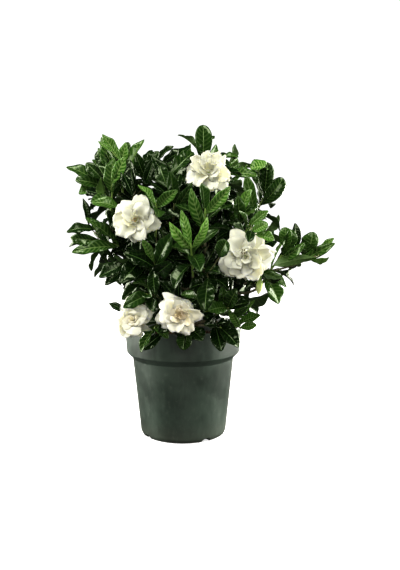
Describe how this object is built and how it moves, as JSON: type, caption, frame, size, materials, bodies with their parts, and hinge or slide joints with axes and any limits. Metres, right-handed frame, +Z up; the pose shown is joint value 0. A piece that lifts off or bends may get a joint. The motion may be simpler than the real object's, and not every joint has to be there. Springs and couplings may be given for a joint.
{
  "type": "potted gardenia",
  "caption": "Gardenia shrub in a tapered nursery pot: branching woody stems, whorled glossy leaves, double white blooms and a bud above potting mix.",
  "frame": {"origin": "centre of the pot's flat base, on the surface that the pot stands on", "axes": "+Z up along the pot's axis; -Y is the plant's front; +X to the right seen from the front"},
  "size_m": [0.4762, 0.436, 0.5712],
  "materials": {
    "pot": "dark green moulded plastic, satin",
    "soil": "bark-based potting mix, loose and matt",
    "bark": "grey-brown bark",
    "leaf": "glossy leathery evergreen leaf",
    "petal": "creamy white, waxy and soft",
    "bud": "pale green, smooth"
  },
  "bodies": {
    "root": {"pot": "pot", "soil": "soil", "woody_stems": "bark", "shoot_01": "leaf", "shoot_02": "leaf", "shoot_03": "leaf", "shoot_04": "leaf", "shoot_05": "leaf", "shoot_06": "leaf", "shoot_07": "leaf", "shoot_08": "leaf", "shoot_09": "leaf", "shoot_10": "leaf", "shoot_11": "leaf", "shoot_12": "leaf", "shoot_13": "leaf", "shoot_14": "leaf", "shoot_15": "leaf", "shoot_16": "leaf", "shoot_17": "leaf", "shoot_18": "leaf", "shoot_19": "leaf", "shoot_20": "leaf", "shoot_21": "leaf", "shoot_22": "leaf", "shoot_23": "leaf", "shoot_24": "leaf", "shoot_25": "leaf", "shoot_26": "leaf", "shoot_27": "leaf", "shoot_28": "leaf", "shoot_29": "leaf", "shoot_30": "leaf", "shoot_31": "leaf", "shoot_32": "leaf", "shoot_33": "leaf", "shoot_34": "leaf", "shoot_35": "leaf", "shoot_36": "leaf", "shoot_37": "leaf", "shoot_38": "leaf", "shoot_39": "leaf", "shoot_40": "leaf", "shoot_41": "leaf", "shoot_42": "leaf", "shoot_43": "leaf", "shoot_44": "leaf", "shoot_45": "leaf", "shoot_46": "leaf", "shoot_47": "leaf", "shoot_48": "leaf", "shoot_49": "leaf", "bloom_1": "petal", "bloom_2": "petal", "bloom_3": "petal", "bloom_4": "petal", "bloom_5": "petal", "bloom_6": "petal", "bloom_7": "petal", "bud_1": "bud"}
  },
  "joints": []
}
